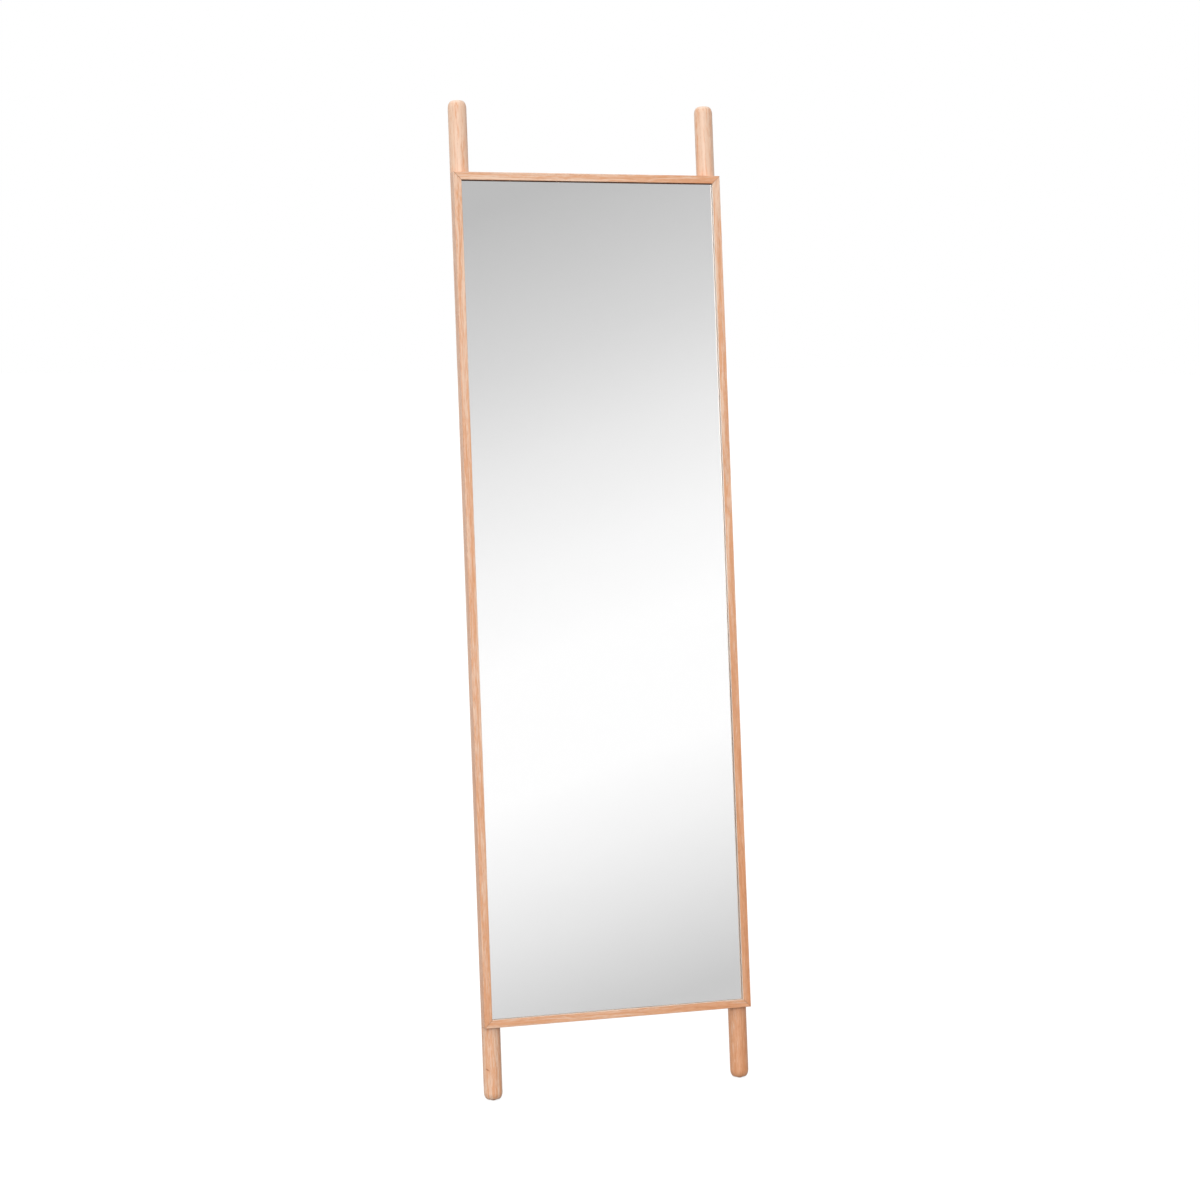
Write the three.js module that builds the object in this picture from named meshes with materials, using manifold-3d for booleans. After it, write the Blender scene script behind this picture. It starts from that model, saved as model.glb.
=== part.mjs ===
// Leaning floor mirror: a slim mitred oak frame housed into two full-length round oak posts.
//
// Millimetres, +Z up, the front towards -Y. The mirror is modelled as it stands in use: leaning back, with
// its feet on the floor (z = 0) and the buffers behind its post tops against an upright wall. The origin is
// on the floor, half way between the two feet.
import * as THREE from 'three';
import { mergeVertices } from 'three/addons/utils/BufferGeometryUtils.js';
import Module from 'manifold-3d';

const wasm = await Module();
wasm.setup();

// ---------------------------------------------------------------- driving dimensions
const LEAN = THREE.MathUtils.degToRad(7.5);
const GAP = 0.3; // air left between pieces that touch

const POST_LENGTH = 1870;
const POST_R = 17.5;
const END_ACROSS = 7.5; // the posts' ends are eased to a quarter ellipse, this wide
const END_ALONG = 14; // and this long
const POST_INSET = 18.5; // post axis, in from the frame's outer side
const POST_DEPTH = 29.5; // post axis, behind the frame's front face

const FRAME_W = 525;
const FRAME_H = 1596;
const FRAME_LIFT = 136; // frame's lower edge, above the posts' lower ends
const FACE = 15; // width of a frame member seen from the front
const FRAME_DEPTH = 25;
const LIP_DEPTH = 5.5; // how deep the glass is set
const REBATE = 7; // how far the lip covers the glass
const ARRIS = 1; // chamfer on the front edges

const GLASS_W = 506;
const GLASS_H = 1576;
const GLASS_T = 2;
const BLOCK_T = 1.5; // setting blocks under the glass
const BLOCK_L = 40;
const BLOCK_X = 150;
const TAPE_W = 20;
const TAPE_H = 1400;
const TAPE_T = 4.3;
const TAPE_X = 170;
const BOARD_T = 12;
const BOARD_PLAY = 0.5; // air between the board and the rebate, all round

const KEY_SIDE = 8; // square tongue across each mitre
const KEY_T = 2.5;

const SCREW_R = 2; // the screws through the posts
const SCREW_HEAD_R = 4.2;
const SCREW_BITE = 6.5; // how far a post screw goes into the board
const PLUG_R = 4.8;
const PLUG_LENGTH = 8;
const SMALL_SCREW_R = 1.5; // the pan-head screws of the clips and hangers
const SMALL_HEAD_R = 3.2;
const SMALL_HEAD_T = 1.8;
const CLIP_SCREW_L = 10;
const HANGER_SCREW_L = 8;
const HOLE_AIR = 0.4; // hole radius less screw radius

const PLATE_T = 1.1; // sheet steel of the clips and hanger plates
const RING_WIRE_R = 1.5;
const RING_R = 12; // centre line of the ring's bow
const EYE_R = 3.1;
const EYE_BORE_R = 1.9;
const HANGER_W = 14;
const HANGER_X = 150;
const HANGER_DROP = 82; // hanger's pivot, below the top of the frame
const CLIP_X = 100;

const PAD_R = 5;
const PAD_THICK = 12; // the blank, before its sole is cut
const PAD_SUNK = 1.2; // depth of the seat that the foot pad is let into
const SOLE_DROP = 1.5; // floor, below the middle of a post's lower end
const BUMPER_R = 8;
const BUMPER_STEM_R = 3;
const BUMPER_STEM_L = 10;
const BUMPER_DROP = 60; // buffer's axis, below the post's upper end
const WALL_AIR = 2; // between the post tops and the wall

// ---------------------------------------------------------------- worked-out places
const SIDES = [['left', -1], ['right', 1]];
const POST_X = FRAME_W / 2 - POST_INSET;
const FRAME_TOP = FRAME_LIFT + FRAME_H;
const FRAME_MID = FRAME_LIFT + FRAME_H / 2;
const BACK_WEB = FACE - REBATE; // solid width of a member behind the lip
const GLASS_FRONT = LIP_DEPTH + GAP;
const TAPE_FRONT = GLASS_FRONT + GLASS_T + GAP;
const BOARD_FRONT = TAPE_FRONT + TAPE_T + GAP;
const BOARD_BACK = BOARD_FRONT + BOARD_T;
const POST_FLAT = FRAME_DEPTH + GAP - POST_DEPTH; // flat of the housing, from the post's axis
const SCREW_TIP = BOARD_BACK - SCREW_BITE - POST_DEPTH; // from the post's axis
const POST_SCREW_END = SCREW_TIP + POST_DEPTH - GAP; // bottom of its hole, from the frame's front
const BORE_FLOOR = POST_R - PLUG_LENGTH - 2 * GAP; // counterbore's floor, from the post's axis
const POST_SCREW_HEIGHTS = [
  FRAME_LIFT + BACK_WEB / 2, // into the bottom rail
  FRAME_LIFT + FRAME_H / 3, // into the board
  FRAME_LIFT + (FRAME_H * 2) / 3, // into the board
  FRAME_TOP - BACK_WEB / 2, // into the top rail
];
const HANGER_Z = FRAME_TOP - HANGER_DROP;
const HANGER_SCREW_DROPS = [17, 31]; // below the hanger's pivot
const HANGER_PIVOT_Y = BOARD_BACK + GAP + EYE_R;
const HANGER_SCREW_END = BOARD_BACK + PLATE_T + GAP - HANGER_SCREW_L;
const WALL_Y = (POST_R - END_ACROSS) * Math.cos(LEAN) + (POST_LENGTH - END_ALONG) * Math.sin(LEAN)
  + Math.hypot(END_ACROSS * Math.cos(LEAN), END_ALONG * Math.sin(LEAN)) + WALL_AIR;

// ---------------------------------------------------------------- finishes
const FINISHES = {
  oak: { color: 0xe2b58f, roughness: 0.6, metalness: 0 },
  silvered_glass: { color: 0xf2f4f4, roughness: 0.03, metalness: 1 },
  board: { color: 0x9a7a58, roughness: 0.85, metalness: 0 },
  foam: { color: 0xf0f0ec, roughness: 0.9, metalness: 0 },
  hard_rubber: { color: 0x3a3a3a, roughness: 0.8, metalness: 0 },
  tan_rubber: { color: 0xb2805c, roughness: 0.7, metalness: 0 },
  zinc_steel: { color: 0xb9bcc0, roughness: 0.35, metalness: 1 },
};

function piece(name, geometry, finish) {
  const mesh = new THREE.Mesh(geometry, new THREE.MeshStandardMaterial(FINISHES[finish]));
  mesh.name = name;
  return mesh;
}

// ---------------------------------------------------------------- shape helpers
// A closed geometry as a solid that can be cut and joined. Turned shapes have triangles that collapse to
// nothing on their axis, and those are dropped.
function solid(geometry) {
  const bare = geometry.clone();
  bare.deleteAttribute('normal');
  bare.deleteAttribute('uv');
  const merged = mergeVertices(bare, 1e-4);
  const corners = merged.index.array;
  const kept = [];
  for (let i = 0; i < corners.length; i += 3) {
    const [a, b, c] = corners.slice(i, i + 3);
    if (a !== b && b !== c && c !== a) kept.push(a, b, c);
  }
  const mesh = new wasm.Mesh({
    numProp: 3,
    vertProperties: new Float32Array(merged.attributes.position.array),
    triVerts: new Uint32Array(kept),
  });
  return new wasm.Manifold(mesh);
}

function geometryOf(body) {
  const mesh = body.getMesh();
  const geometry = new THREE.BufferGeometry();
  geometry.setAttribute('position', new THREE.BufferAttribute(new Float32Array(mesh.vertProperties), 3));
  geometry.setIndex(new THREE.BufferAttribute(new Uint32Array(mesh.triVerts), 1));
  geometry.computeVertexNormals();
  return geometry;
}

// A box between two corners.
function block(low, high) {
  const size = high.map((value, i) => value - low[i]);
  const geometry = new THREE.BoxGeometry(...size);
  return geometry.translate(...low.map((value, i) => value + size[i] / 2));
}

// A round bar along Y, the depth direction.
function rodY(radius, from, to, sides = 16) {
  return new THREE.CylinderGeometry(radius, radius, to - from, sides).translate(0, (from + to) / 2, 0);
}

// A turned piece along Y. The outline is [radius, depth] pairs that start and end on the axis.
function turnedY(outline, sides = 16) {
  return new THREE.LatheGeometry(outline.map(([radius, depth]) => new THREE.Vector2(radius, depth)), sides);
}

// A cylinder along Z, centred on the origin.
function rodZ(radius, length, sides = 32) {
  return new THREE.CylinderGeometry(radius, radius, length, sides).rotateX(Math.PI / 2);
}

// The first solid with all the others cut out of it.
function cut(geometry, ...tools) {
  return tools.reduce((body, tool) => body.subtract(solid(tool)), solid(geometry));
}

// ---------------------------------------------------------------- posts
// In the post's own frame the axis is the Z axis, Y is depth from the axis, and z = 0 is the lower end.
function turnedPost() {
  const flat = POST_R - END_ACROSS;
  const outline = new THREE.Path();
  outline.moveTo(0, 0);
  outline.lineTo(flat, 0);
  outline.absellipse(flat, END_ALONG, END_ACROSS, END_ALONG, -Math.PI / 2, 0, false);
  outline.lineTo(POST_R, POST_LENGTH - END_ALONG);
  outline.absellipse(flat, POST_LENGTH - END_ALONG, END_ACROSS, END_ALONG, 0, Math.PI / 2, false);
  outline.lineTo(0, POST_LENGTH);
  return new THREE.LatheGeometry(outline.getPoints(3), 40).rotateX(Math.PI / 2);
}

// The hole of a post screw: shank hole, countersink, and a counterbore for the plug.
function postScrewHole() {
  const shank = SCREW_R + HOLE_AIR;
  const head = SCREW_HEAD_R + HOLE_AIR;
  return turnedY([
    [0, POST_FLAT - 5],
    [shank, POST_FLAT - 5],
    [shank, BORE_FLOOR + shank - head],
    [head, BORE_FLOOR],
    [PLUG_R + GAP, BORE_FLOOR],
    [PLUG_R + GAP, POST_R + 5],
    [0, POST_R + 5],
  ]);
}

function post() {
  const clear = POST_R + 5;
  const housing = block([-clear, -clear, FRAME_LIFT - GAP], [clear, POST_FLAT, FRAME_TOP + GAP]);
  const padSeat = rodZ(PAD_R + GAP, 2 * PAD_SUNK);
  const stemHole = rodY(BUMPER_STEM_R + HOLE_AIR, POST_R - BUMPER_STEM_L - 1, clear);
  stemHole.translate(0, 0, POST_LENGTH - BUMPER_DROP);
  const screwHoles = POST_SCREW_HEIGHTS.map((height) => postScrewHole().translate(0, 0, height));
  return geometryOf(cut(turnedPost(), housing, padSeat, stemHole, ...screwHoles));
}

function postScrew() {
  const headTop = BORE_FLOOR + GAP;
  return geometryOf(solid(turnedY([
    [0, SCREW_TIP],
    [SCREW_R, SCREW_TIP + 3],
    [SCREW_R, headTop + SCREW_R - SCREW_HEAD_R],
    [SCREW_HEAD_R, headTop],
    [0, headTop],
  ], 12)));
}

// The plug's outer end follows the round of the post.
function postPlug() {
  const pin = rodY(PLUG_R, BORE_FLOOR + 2 * GAP, POST_R + 5);
  const bar = rodZ(POST_R, 4 * PLUG_R, 40);
  return geometryOf(solid(pin).intersect(solid(bar)));
}

// The foot pad is let into the post's end, and its sole is slanted to lie flat on the floor.
function footPad() {
  const disc = rodZ(PAD_R, PAD_THICK).translate(0, 0, PAD_SUNK - GAP - PAD_THICK / 2);
  const floor = block([-30, -30, -20], [30, 30, 0]).translate(0, 0, -SOLE_DROP).rotateX(LEAN);
  return geometryOf(cut(disc, floor));
}

// The wall buffer: a head hollowed to sit on the round post and cut upright where it meets the wall, on a
// stem that is pushed into the post.
function wallBumper() {
  const height = POST_LENGTH - BUMPER_DROP;
  const head = rodY(BUMPER_R, 0, 2 * POST_R, 24);
  const bar = rodZ(POST_R + GAP, 4 * BUMPER_R, 40);
  const wall = block([-30, WALL_Y, -30], [30, WALL_Y + 60, 30]);
  wall.translate(0, 0, height * Math.cos(LEAN)).rotateX(LEAN).translate(0, 0, -height);
  const stem = rodY(BUMPER_STEM_R, POST_R - BUMPER_STEM_L, POST_R + 3);
  return geometryOf(cut(head, bar, wall).add(solid(stem)));
}

function postAssembly(side, sign) {
  const group = new THREE.Group();
  group.position.set(sign * POST_X, POST_DEPTH, 0);
  group.add(piece(`post_${side}`, post(), 'oak'));
  POST_SCREW_HEIGHTS.forEach((height, i) => {
    const screw = piece(`post_screw_${side}_${i + 1}`, postScrew(), 'zinc_steel');
    const plug = piece(`post_plug_${side}_${i + 1}`, postPlug(), 'oak');
    screw.position.z = height;
    plug.position.z = height;
    group.add(screw, plug);
  });
  const bumper = piece(`wall_bumper_${side}`, wallBumper(), 'hard_rubber');
  bumper.position.z = POST_LENGTH - BUMPER_DROP;
  group.add(bumper, piece(`foot_pad_${side}`, footPad(), 'tan_rubber'));
  return group;
}

// ---------------------------------------------------------------- frame
// A loose tongue, set across the mitre in the middle of the lip's depth.
function mitreKey(air = 0) {
  const side = KEY_SIDE + 2 * air;
  const key = new THREE.BoxGeometry(side, KEY_T + 2 * air, side);
  return key.rotateY(Math.PI / 4).translate(0, LIP_DEPTH / 2, 0);
}

// A frame member in its own frame: outer side at x = -half, depth along Y, length along Z, both ends
// mitred. Each end of the section slides inwards by its distance from the outer side.
function member(half, length, holes = []) {
  const section = new THREE.Shape();
  section.moveTo(0, ARRIS);
  section.lineTo(ARRIS, 0);
  section.lineTo(FACE - ARRIS, 0);
  section.lineTo(FACE, ARRIS);
  section.lineTo(FACE, LIP_DEPTH);
  section.lineTo(BACK_WEB, LIP_DEPTH);
  section.lineTo(BACK_WEB, FRAME_DEPTH);
  section.lineTo(0, FRAME_DEPTH);
  section.closePath();
  const bar = new THREE.ExtrudeGeometry(section, { depth: 1, bevelEnabled: false });
  const corners = bar.attributes.position;
  for (let i = 0; i < corners.count; i += 1) {
    const reach = length / 2 - corners.getX(i) - GAP / 2;
    corners.setZ(i, corners.getZ(i) < 0.5 ? -reach : reach);
  }
  const pockets = [-1, 1].map((end) => (
    mitreKey(GAP).translate(FACE / 2 - half, 0, end * (length / 2 - FACE / 2))
  ));
  const bores = holes.map(({ radius, along, depth }) => (
    rodY(radius, FRAME_DEPTH - depth, FRAME_DEPTH + 5).translate(BACK_WEB / 2 - half, 0, along)
  ));
  return geometryOf(cut(bar.translate(-half, 0, 0), ...pockets, ...bores));
}

// The holes in each rail: one for each post's screw and one for each clip's screw.
function railHoles() {
  const holes = [];
  for (const [, sign] of SIDES) {
    holes.push({ radius: SCREW_R + HOLE_AIR, along: sign * POST_X, depth: FRAME_DEPTH - POST_SCREW_END });
    holes.push({ radius: SMALL_SCREW_R + HOLE_AIR, along: sign * CLIP_X, depth: CLIP_SCREW_L });
  }
  return holes;
}

function frameAssembly() {
  const group = new THREE.Group();
  group.position.z = FRAME_MID;
  const quarter = Math.PI / 2;
  const members = [
    ['stile_left', member(FRAME_W / 2, FRAME_H), 0],
    ['top_rail', member(FRAME_H / 2, FRAME_W, railHoles()), quarter],
    ['stile_right', member(FRAME_W / 2, FRAME_H), 2 * quarter],
    ['bottom_rail', member(FRAME_H / 2, FRAME_W, railHoles()), 3 * quarter],
  ];
  for (const [name, geometry, turn] of members) {
    const bar = piece(name, geometry, 'oak');
    bar.rotation.y = turn;
    group.add(bar);
  }
  for (const [side, sign] of SIDES) {
    for (const [level, up] of [['bottom', -1], ['top', 1]]) {
      const key = piece(`mitre_key_${level}_${side}`, mitreKey(), 'oak');
      key.position.set(sign * (FRAME_W / 2 - FACE / 2), 0, up * (FRAME_H / 2 - FACE / 2));
      group.add(key);
    }
  }
  return group;
}

// ---------------------------------------------------------------- glass and board
function paneAssembly() {
  const group = new THREE.Group();
  const floorOfRebate = FRAME_LIFT + BACK_WEB;
  const glassFoot = floorOfRebate + BLOCK_T + 2 * GAP;
  const pane = block([-GLASS_W / 2, 0, 0], [GLASS_W / 2, GLASS_T, GLASS_H]);
  group.add(piece('mirror_glass', pane.translate(0, GLASS_FRONT, glassFoot), 'silvered_glass'));
  for (const [side, sign] of SIDES) {
    const setting = block([-BLOCK_L / 2, 0, 0], [BLOCK_L / 2, GLASS_T, BLOCK_T]);
    setting.translate(sign * BLOCK_X, GLASS_FRONT, floorOfRebate + GAP);
    group.add(piece(`setting_block_${side}`, setting, 'hard_rubber'));
  }
  for (const [place, sign] of [...SIDES, ['middle', 0]]) {
    const strip = block([-TAPE_W / 2, 0, -TAPE_H / 2], [TAPE_W / 2, TAPE_T, TAPE_H / 2]);
    strip.translate(sign * TAPE_X, TAPE_FRONT, FRAME_MID);
    group.add(piece(`mirror_tape_${place}`, strip, 'foam'));
  }
  group.add(piece('back_board', backBoard(), 'board'));
  return group;
}

// The board takes the two middle screws of each post and both screws of each hanger.
function backBoard() {
  const halfWidth = FRAME_W / 2 - BACK_WEB - BOARD_PLAY;
  const halfHeight = FRAME_H / 2 - BACK_WEB - BOARD_PLAY;
  const panel = block(
    [-halfWidth, BOARD_FRONT, FRAME_MID - halfHeight],
    [halfWidth, BOARD_BACK, FRAME_MID + halfHeight],
  );
  const holes = [];
  for (const [, sign] of SIDES) {
    for (const height of POST_SCREW_HEIGHTS.slice(1, -1)) {
      const hole = rodY(SCREW_R + HOLE_AIR, POST_SCREW_END, BOARD_BACK + 5);
      holes.push(hole.translate(sign * POST_X, 0, height));
    }
    for (const drop of HANGER_SCREW_DROPS) {
      const hole = rodY(SMALL_SCREW_R + HOLE_AIR, HANGER_SCREW_END, BOARD_BACK + 5);
      holes.push(hole.translate(sign * HANGER_X, 0, HANGER_Z - drop));
    }
  }
  return geometryOf(cut(panel, ...holes));
}

// ---------------------------------------------------------------- clips and hangers
// A pan-head screw along Y with a cross recess. Its seat is at depth 0 and the head stands behind it.
function panScrew(length) {
  const blank = turnedY([
    [0, -length],
    [SMALL_SCREW_R, 2.5 - length],
    [SMALL_SCREW_R, 0],
    [SMALL_HEAD_R, 0],
    [SMALL_HEAD_R, 0.5 * SMALL_HEAD_T],
    [0.72 * SMALL_HEAD_R, SMALL_HEAD_T],
    [0, SMALL_HEAD_T],
  ], 12);
  const across = block([-1.5, 0.4 * SMALL_HEAD_T, -0.4], [1.5, 5, 0.4]);
  const upright = block([-0.4, 0.4 * SMALL_HEAD_T, -1.5], [0.4, 5, 1.5]);
  return geometryOf(cut(blank, across, upright));
}

// A flat plate with a round lower end, in the XZ plane with its front at depth 0, drilled for small screws.
function plate(width, low, high, holes) {
  const half = width / 2;
  const outline = new THREE.Shape();
  outline.moveTo(half, high);
  outline.lineTo(-half, high);
  outline.lineTo(-half, low + half);
  outline.absarc(0, low + half, half, Math.PI, 2 * Math.PI, false);
  outline.closePath();
  for (const height of holes) {
    const hole = new THREE.Path();
    hole.absarc(0, height, SMALL_SCREW_R + HOLE_AIR, 0, 2 * Math.PI, true);
    outline.holes.push(hole);
  }
  const sheet = new THREE.ExtrudeGeometry(outline, { depth: PLATE_T, bevelEnabled: false, curveSegments: 8 });
  return sheet.rotateX(Math.PI / 2).translate(0, PLATE_T, 0);
}

// A clip screwed to a rail, with its round end over the board. The screw is the clip's origin.
function boardClip(level, side) {
  const group = new THREE.Group();
  const screw = piece(`board_clip_screw_${level}_${side}`, panScrew(CLIP_SCREW_L + PLATE_T), 'zinc_steel');
  screw.position.y = PLATE_T + GAP;
  group.add(piece(`board_clip_${level}_${side}`, plate(12, -22, BACK_WEB / 2 - 0.5, [0]), 'zinc_steel'));
  group.add(screw);
  return group;
}

// A hanger's plate, with the eye that its ring turns in. The origin is the hinge axis.
function hangerPlate() {
  const drops = HANGER_SCREW_DROPS.map((drop) => -drop);
  const tongue = plate(HANGER_W, -39, 0, drops).translate(0, -EYE_R, 0);
  const eye = new THREE.CylinderGeometry(EYE_R, EYE_R, HANGER_W, 24).rotateZ(Math.PI / 2);
  const bore = new THREE.CylinderGeometry(EYE_BORE_R, EYE_BORE_R, 2 * HANGER_W, 24).rotateZ(Math.PI / 2);
  return geometryOf(solid(tongue).add(solid(eye)).subtract(solid(bore)));
}

// A D-shaped wire ring: a straight leg on the hinge axis and a half-round bow below it.
function hangerRing() {
  const hoop = new THREE.TorusGeometry(RING_R, RING_WIRE_R, 12, 40).rotateX(Math.PI / 2);
  const upperHalf = block([-2 * RING_R, -5, 0], [2 * RING_R, 5, 2 * RING_R]);
  const leg = new THREE.CylinderGeometry(RING_WIRE_R, RING_WIRE_R, 2 * RING_R, 12).rotateZ(Math.PI / 2);
  let ring = cut(hoop, upperHalf).add(solid(leg));
  for (const [, sign] of SIDES) {
    const corner = new THREE.SphereGeometry(RING_WIRE_R, 12, 8).rotateZ(Math.PI / 2);
    ring = ring.add(solid(corner.translate(sign * RING_R, 0, 0)));
  }
  return geometryOf(ring);
}

function hanger(side) {
  const group = new THREE.Group();
  group.add(piece(`hanger_plate_${side}`, hangerPlate(), 'zinc_steel'));
  const ring = piece(`hanger_ring_${side}`, hangerRing(), 'zinc_steel');
  ring.rotation.x = LEAN; // hangs plumb while the mirror leans
  group.add(ring);
  HANGER_SCREW_DROPS.forEach((drop, i) => {
    const screw = piece(`hanger_screw_${side}_${i + 1}`, panScrew(HANGER_SCREW_L), 'zinc_steel');
    screw.position.set(0, PLATE_T + GAP - EYE_R, -drop);
    group.add(screw);
  });
  return group;
}

// ---------------------------------------------------------------- the mirror, leaning
const mirror = new THREE.Group();
mirror.rotation.x = -LEAN;
mirror.position.set(0, -POST_DEPTH * Math.cos(LEAN), SOLE_DROP + POST_DEPTH * Math.sin(LEAN));
mirror.add(frameAssembly(), paneAssembly());

for (const [side, sign] of SIDES) {
  mirror.add(postAssembly(side, sign));

  const fitting = hanger(side);
  fitting.position.set(sign * HANGER_X, HANGER_PIVOT_Y, HANGER_Z);
  mirror.add(fitting);

  for (const [level, height, turn] of [
    ['top', FRAME_TOP - BACK_WEB / 2, 0],
    ['bottom', FRAME_LIFT + BACK_WEB / 2, Math.PI],
  ]) {
    const clip = boardClip(level, side);
    clip.position.set(sign * CLIP_X, FRAME_DEPTH + GAP, height);
    clip.rotation.y = turn;
    mirror.add(clip);
  }
}

const model = new THREE.Group();
model.add(mirror);

export default model;
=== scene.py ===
# %% [markdown]
# # A leaning floor mirror in oak
#
# The real object is a tall mirror that leans on a wall. A slim oak frame, mitred at its corners,
# holds the glass. It is let into two round oak posts, which are its feet below and stand above it
# like a ladder's rails. At the back are a fibreboard panel, turn clips and two ring hangers.
#
# The engineering model already has every part at its true size. This script keeps that frame and
# builds the parts again with softened edges, real screws and wood that looks as if it grew.

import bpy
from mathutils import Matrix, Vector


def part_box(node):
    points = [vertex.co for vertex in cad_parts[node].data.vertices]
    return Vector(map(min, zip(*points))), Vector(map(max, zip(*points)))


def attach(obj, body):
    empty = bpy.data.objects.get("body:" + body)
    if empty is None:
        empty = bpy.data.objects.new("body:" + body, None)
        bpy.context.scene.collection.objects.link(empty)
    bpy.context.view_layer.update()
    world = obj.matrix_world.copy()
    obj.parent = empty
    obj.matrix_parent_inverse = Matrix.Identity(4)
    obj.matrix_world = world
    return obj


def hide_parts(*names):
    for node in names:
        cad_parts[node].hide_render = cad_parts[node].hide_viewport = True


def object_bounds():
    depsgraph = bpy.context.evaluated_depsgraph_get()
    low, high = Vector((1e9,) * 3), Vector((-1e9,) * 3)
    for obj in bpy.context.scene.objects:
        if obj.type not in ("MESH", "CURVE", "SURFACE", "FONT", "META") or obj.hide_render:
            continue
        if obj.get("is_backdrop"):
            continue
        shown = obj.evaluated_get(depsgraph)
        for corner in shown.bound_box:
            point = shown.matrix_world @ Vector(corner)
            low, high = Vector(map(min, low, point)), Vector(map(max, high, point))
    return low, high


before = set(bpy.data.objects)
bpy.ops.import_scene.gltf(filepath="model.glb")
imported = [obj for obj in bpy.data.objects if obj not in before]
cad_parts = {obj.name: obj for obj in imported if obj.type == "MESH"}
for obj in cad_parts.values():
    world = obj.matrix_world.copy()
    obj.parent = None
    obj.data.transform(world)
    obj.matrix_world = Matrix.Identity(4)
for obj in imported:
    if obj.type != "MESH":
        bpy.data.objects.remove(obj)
cad_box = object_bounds()

# %% [markdown]
# ## A bench to work on
# Everything in the mirror leans back by the same angle, which makes it awkward to build in place.
# A joiner would lay it flat on a bench. The script does the same with a matrix: on the bench, z
# runs along the posts, x across the mirror and y goes back from the posts' axes. Sizes on the
# bench are in millimetres.
#
# The lean isn't typed in. It is measured between two parts that sit one above the other.

# %% The bench
import math

import bpy
from mathutils import Euler, Matrix, Vector

MM = 0.001
SIDES = (("left", -1), ("right", 1))
ENDS = ("bottom", "top")


def middle(node):
    low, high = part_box(node)
    return (low + high) / 2


rise = middle("mitre_key_top_left") - middle("mitre_key_bottom_left")
lean = math.atan2(rise.y, rise.z)
bench_origin = (middle("post_left") + middle("post_right")) / 2
bench = Matrix.Translation(bench_origin) @ Matrix.Rotation(-lean, 4, "X")
to_bench = bench.inverted()
print(f"lean {math.degrees(lean):.2f} degrees")


# %% Measure on the bench
def measure(*nodes):
    """The lowest and highest corner that parts reach on the bench, in millimetres."""
    spots = [to_bench @ v.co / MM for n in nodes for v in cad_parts[n].data.vertices]
    return [Vector([pick(spot[i] for spot in spots) for i in range(3)]) for pick in (min, max)]


def axis_of(node):
    """Where the axis of a part that points to the front or back crosses the bench."""
    low, high = measure(node)
    return (low.x + high.x) / 2, 0, (low.z + high.z) / 2


def level(node):
    """Height of a part's middle on the bench."""
    return axis_of(node)[2]


def half_width(node):
    low, high = measure(node)
    return (high.x - low.x) / 2


print(f"the top plugs are {level('post_plug_left_4'):.0f} mm up the bench")

# %% [markdown]
# ## Shape helpers
# Most parts here are a row of outlines with skin stretched between them: a turned post is a row of
# circles, a frame member is one section at each mitre, a ring is a circle carried round a loop. So
# one function that skins outlines makes nearly all of it, and Blender's boolean drills the holes
# afterwards.
#
# Primitives would be quicker to type, but a skin keeps every edge where a maker would put it.

# %% Skin, lathe and box
import bmesh


def skin(rings, joined=False):
    """A closed mesh through outlines of equal length. Joined, the last meets the first."""
    bm = bmesh.new()
    loops = [[bm.verts.new(point) for point in ring] for ring in rings]
    following = loops[1:] + loops[:1] if joined else loops[1:]
    for here, there in zip(loops, following):
        for i, corner in enumerate(here):
            bm.faces.new((here[i - 1], corner, there[i], there[i - 1]))
    if not joined:
        bm.faces.new(loops[0])
        bm.faces.new(loops[-1])
    bmesh.ops.recalc_face_normals(bm, faces=bm.faces)
    return bm


def arc(across, along, radius, start, end, steps, stretch=1.0):
    """Points on an arc about (across, along), from one angle to another in degrees. Stretched,
    it is an ellipse that is taller than it is wide."""
    angles = [math.radians(start + (end - start) * i / steps) for i in range(steps + 1)]
    return [(across + radius * math.cos(a), along + stretch * radius * math.sin(a))
            for a in angles]


def spokes(sides):
    """The (cosine, sine) of equal steps round a circle."""
    turns = [2 * math.pi * i / sides for i in range(sides)]
    return [(math.cos(a), math.sin(a)) for a in turns]


def circles(outline, sides):
    """A level circle about z for each (radius, height) of an outline."""
    return [[(r * c, r * s, height) for c, s in spokes(sides)] for r, height in outline]


def turned(outline, sides=32):
    """A piece turned on a lathe, about z."""
    return skin(circles(outline, sides))


def block(low, high):
    (left, front, bottom), (right, back, top) = low, high
    return skin([[(left, front, z), (right, front, z), (right, back, z), (left, back, z)]
                 for z in (bottom, top)])


FACING_BACK = Matrix.Rotation(-math.pi / 2, 4, "X")  # turns a lathe's axis from z to y


def moved(bm, *place, turn=Matrix.Identity(4)):
    bm.transform(Matrix.Translation(place) @ turn)
    return bm


# %% [markdown]
# Holes are drilled with the boolean modifier. All the bits go into one mesh first, because one
# exact cut is quicker than many. The result is read back from the evaluated object, so no modifier
# is left behind.


# %% Drill
def add_object(name, data):
    made = bpy.data.objects.new(name, data)
    bpy.context.scene.collection.objects.link(made)
    return made


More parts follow.
